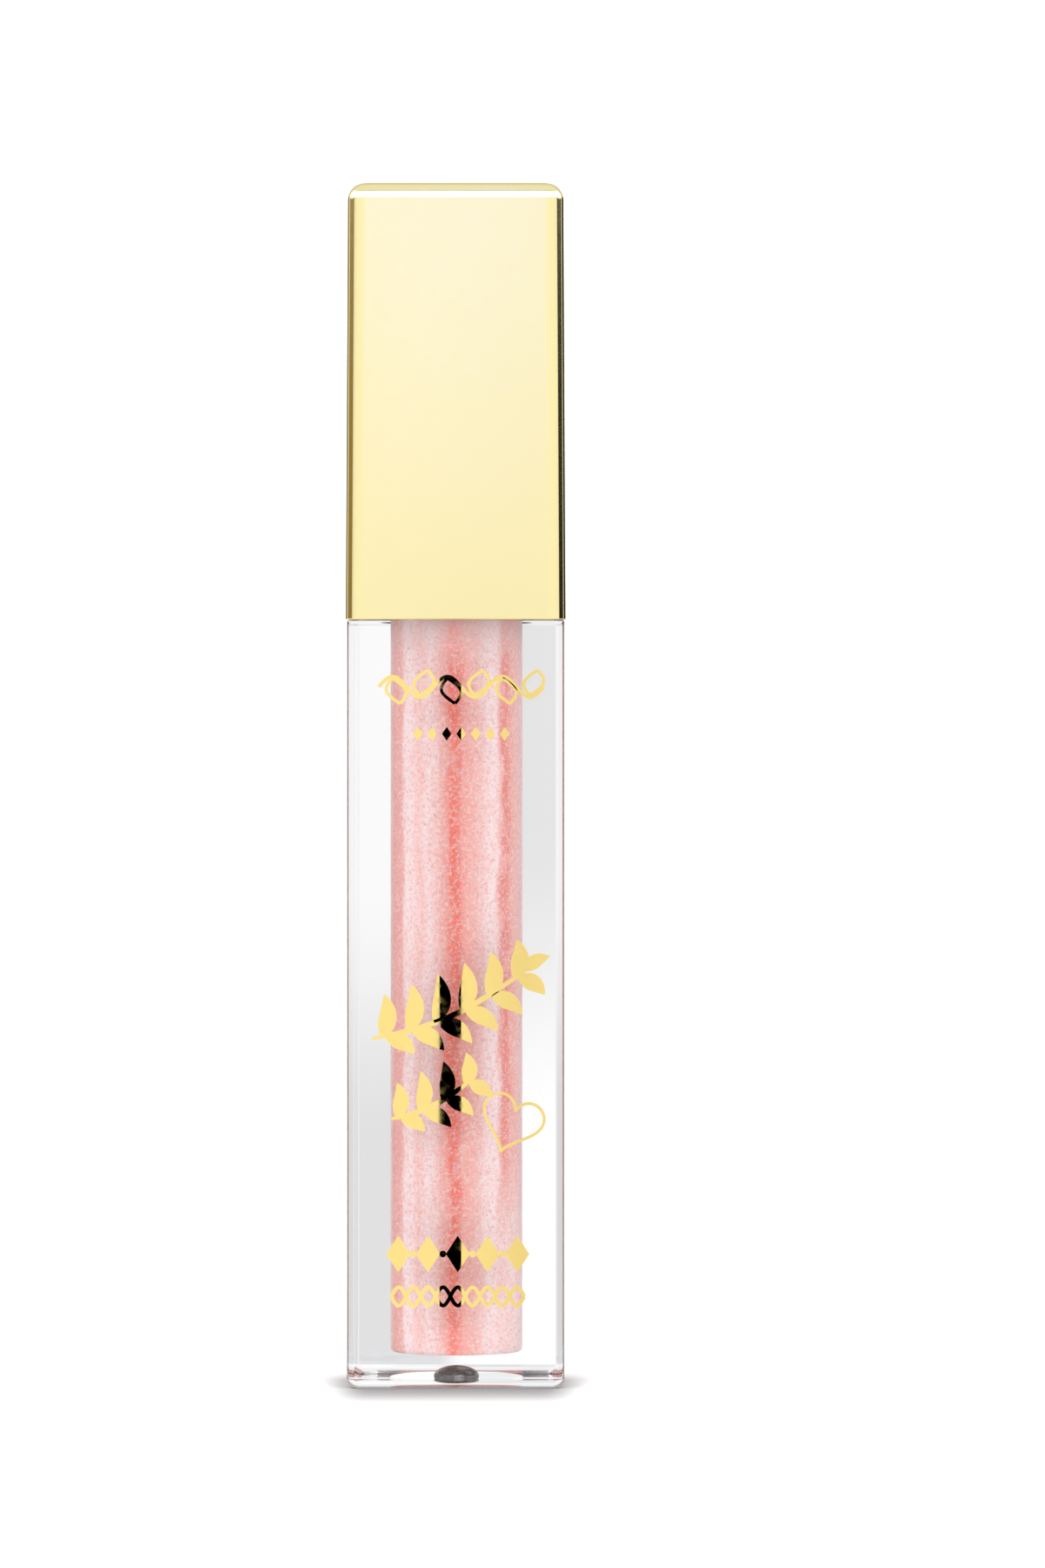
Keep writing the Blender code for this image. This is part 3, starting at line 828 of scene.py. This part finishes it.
class Foil:
    """Flat raised shapes on the bottle's front face, drawn in (x, z) millimetres."""

    def __init__(self):
        self.bm = bmesh.new()
        self.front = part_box("bottle")[0].y
        self.count = 0

    def next_lift(self):
        """The height of the next shape, a little different from its neighbours'."""
        lift = FOIL_HEIGHT + (self.count % FOIL_LAYERS) * FOIL_SUNK
        self.count += 1
        return lift

    def prism(self, outline):
        """A raised shape with a convex outline."""
        lift = self.next_lift()
        top = [self.bm.verts.new((x * MM, self.front - lift, z * MM)) for x, z in outline]
        foot = [self.bm.verts.new((x * MM, self.front + FOIL_SUNK, z * MM)) for x, z in outline]
        self.bm.faces.new(top)
        for i in range(len(top)):
            j = (i + 1) % len(top)
            self.bm.faces.new((top[i], foot[i], foot[j], top[j]))

    def ribbon(self, centers, half_widths):
        """A raised stripe of changing width through a row of points."""
        lift = self.next_lift()
        last = len(centers) - 1
        rows = []
        for i, (x, z) in enumerate(centers):
            ahead = centers[min(i + 1, last)]
            behind = centers[max(i - 1, 0)]
            along = Vector((ahead[0] - behind[0], ahead[1] - behind[1])).normalized()
            row = []
            for side in (1, -1):
                px = (x - along.y * half_widths[i] * side) * MM
                pz = (z + along.x * half_widths[i] * side) * MM
                row.append(self.bm.verts.new((px, self.front - lift, pz)))
                row.append(self.bm.verts.new((px, self.front + FOIL_SUNK, pz)))
            rows.append(row)
        for a, b in zip(rows, rows[1:]):
            self.bm.faces.new((a[0], b[0], b[2], a[2]))
            self.bm.faces.new((a[0], a[1], b[1], b[0]))
            self.bm.faces.new((a[2], b[2], b[3], a[3]))
        for a in (rows[0], rows[-1]):
            self.bm.faces.new((a[0], a[1], a[3], a[2]))

    def leaf(self, x, z, angle_deg, length, width, bend=0.0):
        """A pointed leaf that starts at (x, z) and curves by bend."""
        steps = 14
        angle = math.radians(angle_deg)
        centers, halves = [], []
        for i in range(steps + 1):
            t = i / steps
            side = bend * length * math.sin(math.pi * t) * 0.5
            centers.append((
                x + length * t * math.cos(angle) - side * math.sin(angle),
                z + length * t * math.sin(angle) + side * math.cos(angle),
            ))
            halves.append(0.02 + width / 2 * math.sin(math.pi * t ** 0.8) ** 0.85)
        self.ribbon(centers, halves)

    def curve(self, point_at, width, steps=60, taper=0.0):
        """A line of even width, or tapering to both ends."""
        shares = [i / steps for i in range(steps + 1)]
        halves = [width / 2 * (1 - taper * abs(2 * t - 1) ** 3) for t in shares]
        self.ribbon([point_at(t) for t in shares], halves)

    def dot(self, x, z, radius, sides=20):
        angles = [math.tau * k / sides for k in range(sides)]
        self.prism([(x + radius * math.cos(a), z + radius * math.sin(a)) for a in angles])

    def diamond(self, x, z, half_width, half_height):
        self.prism([(x + half_width, z), (x, z + half_height), (x - half_width, z), (x, z - half_height)])

    def finish(self, name, material):
        obj = object_from_bmesh(self.bm, name, material)
        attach(obj, "bottle")


def make_foil_vine(material):
    """A thin waving vine with outlined leaves over a row of small diamonds."""
    foil = Foil()
    left = -6.7
    right = 7.7
    level = 61.3
    swing = 0.9
    waves = 3
    petal = 2.2

    def vine(t):
        return left + (right - left) * t, level + swing * math.sin(math.tau * waves * t)

    foil.curve(vine, 0.32, steps=120)
    for i in range(2 * waves):
        x, z = vine((i + 0.5) / (2 * waves))
        side = -1 if i % 2 else 1

        for bow in (-0.85, 0.85):

            def petal_edge(t, x=x, z=z, side=side, bow=bow):
                along = petal * t
                return x + bow * math.sin(math.pi * t) + 0.3 * along, z - side * (0.15 + along)

            foil.curve(petal_edge, 0.28, steps=24)
    beads = 7
    beads_left = -3.3
    beads_length = 7.6
    beads_level = 57.2
    for i in range(beads):
        foil.diamond(beads_left + beads_length * i / (beads - 1), beads_level, 0.42, 0.62)
    foil.finish("foil_vine", material)


def make_foil_branch(material):
    """Two bold leafy branches rising to the right, and a thin heart outline."""
    foil = Foil()

    def branch(start, end, sag, pairs, leaf_length, leaf_width):
        run = end[0] - start[0]
        climb = end[1] - start[1]
        rise = math.degrees(math.atan2(climb, run))

        def stem(t):
            return start[0] + run * t, start[1] + climb * t - sag * math.sin(math.pi * t)

        foil.curve(stem, 0.5, steps=50, taper=0.5)
        for i in range(pairs):
            t = 0.06 + 0.86 * i / (pairs - 1)
            x, z = stem(t)
            grow = 0.75 + 0.35 * math.sin(math.pi * (0.15 + 0.8 * t))
            foil.leaf(x, z, rise + 62, leaf_length * grow, leaf_width, -0.25)
            foil.leaf(x + 0.35, z, rise - 55, leaf_length * grow * 0.8, leaf_width * 0.95, 0.25)

    branch(start=(-7.3, 30.6), end=(6.2, 36.6), sag=1.1, pairs=6, leaf_length=3.9, leaf_width=1.55)
    branch(start=(-5.6, 23.6), end=(1.4, 27.0), sag=0.6, pairs=4, leaf_length=3.2, leaf_width=1.35)
    foil.leaf(6.0, 36.5, 30, 2.6, 1.2, 0.2)

    heart_x = 4.9
    heart_z = 23.4
    tilt = math.radians(-20)
    for side in (-1, 1):

        def half_heart(t, side=side):
            a = 0.12 + (math.pi - 0.24) * t
            x = side * 2.7 * math.sin(a) ** 3
            z = 0.17 * (13 * math.cos(a) - 5 * math.cos(2 * a) - 2 * math.cos(3 * a) - math.cos(4 * a))
            return (
                heart_x + x * math.cos(tilt) - z * math.sin(tilt),
                heart_z + x * math.sin(tilt) + z * math.cos(tilt),
            )

        foil.curve(half_heart, 0.26)
    foil.finish("foil_branch", material)


def make_foil_border(material):
    """A bold row of diamonds over a lighter braid."""
    foil = Foil()
    left = -5.0
    right = 5.4
    level = 11.8
    diamonds = 5
    step = (right - left) / (diamonds - 1)
    for i in range(diamonds):
        x = left + step * i
        foil.diamond(x, level, 1.05, 1.6)
        if i < diamonds - 1:
            foil.dot(x + step / 2, level, 0.3)
    braid_left = -5.6
    braid_length = 11.6
    braid_level = 8.1
    braid_swing = 0.8
    braid_waves = 4.5
    for phase in (0, math.pi):

        def strand(t, phase=phase):
            swing = math.sin(math.tau * braid_waves * t + phase)
            return braid_left + braid_length * t, braid_level + braid_swing * swing

        foil.curve(strand, 0.34, steps=140)
    foil.finish("foil_border", material)


# ------------------------------------------------------------------------ stage

def make_floor():
    """A pale floor with a soft contact shadow painted under the tube and in front of it."""
    bm = bmesh.new()
    bmesh.ops.create_grid(bm, x_segments=1, y_segments=1, size=FLOOR_HALF)
    material, graph, shader = principled("floor", Roughness=1.0, Specular_IOR_Level=0.0)
    split = graph.add("ShaderNodeSeparateXYZ", {0: graph.place()})
    x = split.outputs["X"]
    y = split.outputs["Y"]
    low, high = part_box("bottle")
    beside = graph.ramp(graph.math("ABSOLUTE", x), high.x + 4.0 * MM, high.x - 2.0 * MM)
    ahead = graph.ramp(y, low.y - 19 * MM, low.y)
    back = graph.ramp(y, low.y + 14 * MM, low.y + 6 * MM, 0.0, CONTACT_SHADE)
    shade = graph.math("MULTIPLY", graph.math("MULTIPLY", beside, ahead), back)
    wire(graph, shader, Base_Color=graph.mix(shade, (0.95, 0.95, 0.95, 1.0), (0.05, 0.05, 0.05, 1.0)))
    floor = object_from_bmesh(bm, "floor", material)
    floor.visible_transmission = False
    floor.visible_glossy = False


def make_dark_card():
    """A dark strip towards the camera that only mirrors see: the foil turns black there.

    The front face mirrors it to the camera between the two x of DARK_STRIP, so its
    sides are lines through the camera's mirror image and those x. It lies on the
    floor, then stands up in the camera's plane.
    """
    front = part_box("bottle")[0].y
    reach = front - CAMERA_AT.y
    near = 50 * MM
    top = 76 * MM
    clearance = 0.1 * MM

    def across(x, distance):
        return x + (x - CAMERA_AT.x) * distance / reach

    bm = bmesh.new()
    rows = []
    for distance, z in ((near, clearance), (reach, clearance), (reach, top)):
        rows.append([
            bm.verts.new((across(x, distance), front - distance, z)) for x in DARK_STRIP
        ])
    for a, b in zip(rows, rows[1:]):
        bm.faces.new((a[0], a[1], b[1], b[0]))
    material = principled(
        "dark_card", Base_Color=(0.0, 0.0, 0.0, 1.0), Roughness=1.0, Specular_IOR_Level=0.0,
    )[0]
    card = object_from_bmesh(bm, "dark_card", material)
    card.visible_camera = False
    card.visible_diffuse = False
    card.visible_transmission = False
    card.visible_volume_scatter = False
    card.visible_shadow = False


class Sky:
    """Ray directions and kinds, to paint the world's light by. Angles are degrees.

    azimuth is 0 towards -Y and positive towards +X, aside is its size, and behind is
    counted from +Y instead. A span is (low, high, softness of both edges).
    """

    def __init__(self, graph):
        self.graph = graph
        direction = graph.add("ShaderNodeTexCoord").outputs["Generated"]
        x, y, z = graph.add("ShaderNodeSeparateXYZ", {0: direction}).outputs
        self.azimuth = self.degrees("ARCTAN2", x, graph.math("MULTIPLY", y, -1.0))
        self.aside = graph.math("ABSOLUTE", self.azimuth)
        self.behind = self.degrees("ARCTAN2", x, y)
        self.elevation = self.degrees("ARCSINE", z)
        rays = graph.add("ShaderNodeLightPath").outputs
        self.from_camera = rays["Is Camera Ray"]
        self.clear = rays["Is Transmission Ray"]
        self.scattered = graph.math("MINIMUM", rays["Diffuse Depth"], 1.0)

    def degrees(self, operation, a, b=0.0):
        return self.graph.math("MULTIPLY", self.graph.math(operation, a, b), 180 / math.pi)

    def patch(self, aside, elevation):
        """1 in a soft-edged span of aside and elevation, alike on the left and the right."""
        return self.graph.math(
            "MULTIPLY",
            self.graph.window(self.aside, *aside),
            self.graph.window(self.elevation, *elevation),
        )


def studio_lights(sky):
    """The studio as mirrors see it: softboxes, panels and a bright ground round a dark front."""
    graph = sky.graph
    level = graph.ramp(sky.azimuth, -25.0, 25.0, 0.28, 0.015)

    # Softboxes: low and high at the sides, at the back, overhead, and above the camera.
    level = graph.paint(level, sky.patch(aside=(28, 100, 6), elevation=(8.6, 22, 0.7)), 1.0)
    level = graph.paint(level, sky.patch(aside=(28, 100, 6), elevation=(22, 70, 2)), 2.2)
    level = graph.paint(level, sky.patch(aside=(105, 200, 12), elevation=(14, 72, 2)), 0.70)
    level = graph.paint(level, graph.ramp(sky.elevation, 60.0, 68.0), 0.90)
    level = graph.paint(level, sky.patch(aside=(-1, 62, 8), elevation=(18, 60, 1.5)), 2.7)

    # Panels: round the camera, at both sides, and behind the tube.
    front = graph.ramp(sky.elevation, 1.0, 4.0, 1.03, 1.06)
    level = graph.paint(level, sky.patch(aside=(-1, 11, 2), elevation=(-90, 17, 1.5)), front)
    level = graph.paint(level, sky.patch(aside=(85, 95, 2), elevation=(-90, 12, 3)), 1.1)
    level = graph.paint(level, sky.patch(aside=(173, 200, 2), elevation=(-90, 12, 4)), 1.15)

    ground = graph.ramp(sky.azimuth, -30.0, 30.0, 1.0, 0.72)
    return graph.paint(level, graph.ramp(sky.elevation, -7.0, -10.0), ground)


def clear_backdrop(sky, lights):
    """The studio through clear plastic: pale, greyer low on the left and high on the right."""
    graph = sky.graph
    pale = 0.88
    left = graph.ramp(sky.elevation, -4.0, -1.0, 0.73, 0.95)
    right = graph.ramp(sky.elevation, -4.5, -0.3, 1.05, 0.77)
    backdrop = graph.mix_value(graph.window(sky.behind, -0.8, 0.95, 0.2), left, right)
    low = graph.ramp(sky.elevation, 12.0, 4.0)
    hind = graph.ramp(sky.aside, 60.0, 120.0)
    seen = graph.math("MAXIMUM", lights, pale)
    seen = graph.paint(seen, graph.math("MULTIPLY", low, hind), backdrop)
    return graph.paint(seen, graph.ramp(sky.elevation, -6.0, -12.0), pale)


def scattered_light(sky, level):
    """Lift the light that dull surfaces get.

    The gloss inside the clear wall is lit as much from below as from above.
    """
    graph = sky.graph
    inside = graph.math("MULTIPLY", sky.clear, sky.scattered)
    under = sky.patch(aside=(-1, 62, 8), elevation=(-60, -18, 1.5))
    level = graph.paint(level, graph.math("MULTIPLY", inside, under), 2.7)
    gain = graph.mix_value(inside, 1.3, 1.03)
    lifted = graph.math("ADD", graph.math("MULTIPLY", level, gain), 0.15)
    return graph.paint(level, sky.scattered, lifted)


def studio_tint(sky):
    """White light, but cool in a strip above the camera, and brown on the left to mirrors."""
    graph = sky.graph
    cool = graph.math(
        "MULTIPLY", graph.window(sky.azimuth, -2.4, 1.0, 1.0), graph.ramp(sky.elevation, 1.5, 7.5),
    )
    tint = graph.mix(cool, (1.0, 1.0, 1.0, 1.0), (1.0, 1.08, 1.7, 1.0))
    brown = graph.math(
        "MULTIPLY", graph.window(sky.azimuth, -80.0, -14.0, 2.0),
        graph.window(sky.elevation, -8.0, 9.0, 0.5),
    )
    mirrored = graph.math("SUBTRACT", 1.0, graph.math("MAXIMUM", sky.clear, sky.scattered))
    return graph.mix(graph.math("MULTIPLY", brown, mirrored), tint, (1.0, 0.72, 0.30, 1.0))


def studio_world():
    """Soft studio light, painted on the world by direction."""
    world = bpy.data.worlds.new("studio")
    bpy.context.scene.world = world
    world.use_nodes = True
    graph = Graph(world.node_tree)
    sky = Sky(graph)
    lights = studio_lights(sky)
    level = graph.paint(lights, sky.clear, clear_backdrop(sky, lights))
    level = scattered_light(sky, level)
    level = graph.paint(level, sky.from_camera, BACKGROUND_LEVEL)
    background = world.node_tree.nodes["Background"]
    graph.tree.links.new(studio_tint(sky), background.inputs["Color"])
    graph.tree.links.new(level, background.inputs["Strength"])


def make_camera():
    """A level camera that looks along +Y."""
    data = bpy.data.cameras.new("camera")
    data.lens = CAMERA_LENS
    data.sensor_width = CAMERA_SENSOR
    data.clip_start = 0.01
    data.clip_end = 20.0
    camera = bpy.data.objects.new("camera", data)
    bpy.context.scene.collection.objects.link(camera)
    camera.location = CAMERA_AT
    camera.rotation_euler = (math.radians(90), 0, 0)
    bpy.context.scene.camera = camera


# ------------------------------------------------------------------------- main

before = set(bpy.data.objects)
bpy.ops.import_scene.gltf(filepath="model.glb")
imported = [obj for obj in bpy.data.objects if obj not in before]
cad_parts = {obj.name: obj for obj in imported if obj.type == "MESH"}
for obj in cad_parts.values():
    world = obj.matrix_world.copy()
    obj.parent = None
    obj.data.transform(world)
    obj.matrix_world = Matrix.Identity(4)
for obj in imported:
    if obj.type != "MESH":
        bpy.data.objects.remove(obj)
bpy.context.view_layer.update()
bpy.context.scene.view_settings.view_transform = "Standard"

make_camera()
studio_world()
make_floor()
make_dark_card()
make_bottle(clear_plastic(), gate_mark())
make_gloss(gloss_gel())
make_flakes(glitter_flakes())
make_outer_cap(gold_plating())
make_stem(stem_plastic())
make_tip_flock(flock())
foil = foil_print()
make_foil_vine(foil)
make_foil_branch(foil)
make_foil_border(foil)
CAD_MATERIALS = {
    "wiper": moulded("wiper_plastic", (0.88, 0.88, 0.87), (0.84, 0.84, 0.83), 0.45, 1400.0, 0.2),
    "inner_cap": moulded("insert_plastic", (0.86, 0.86, 0.84), (0.82, 0.82, 0.80), 0.42, 1800.0),
    "gasket": gasket_foam(),
    "tip_core": moulded("nib_elastomer", (0.85, 0.55, 0.6), (0.80, 0.48, 0.54), 0.5, 1200.0),
}
for node_name, node_material in CAD_MATERIALS.items():
    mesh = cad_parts[node_name].data
    mesh.materials.clear()
    mesh.materials.append(node_material)
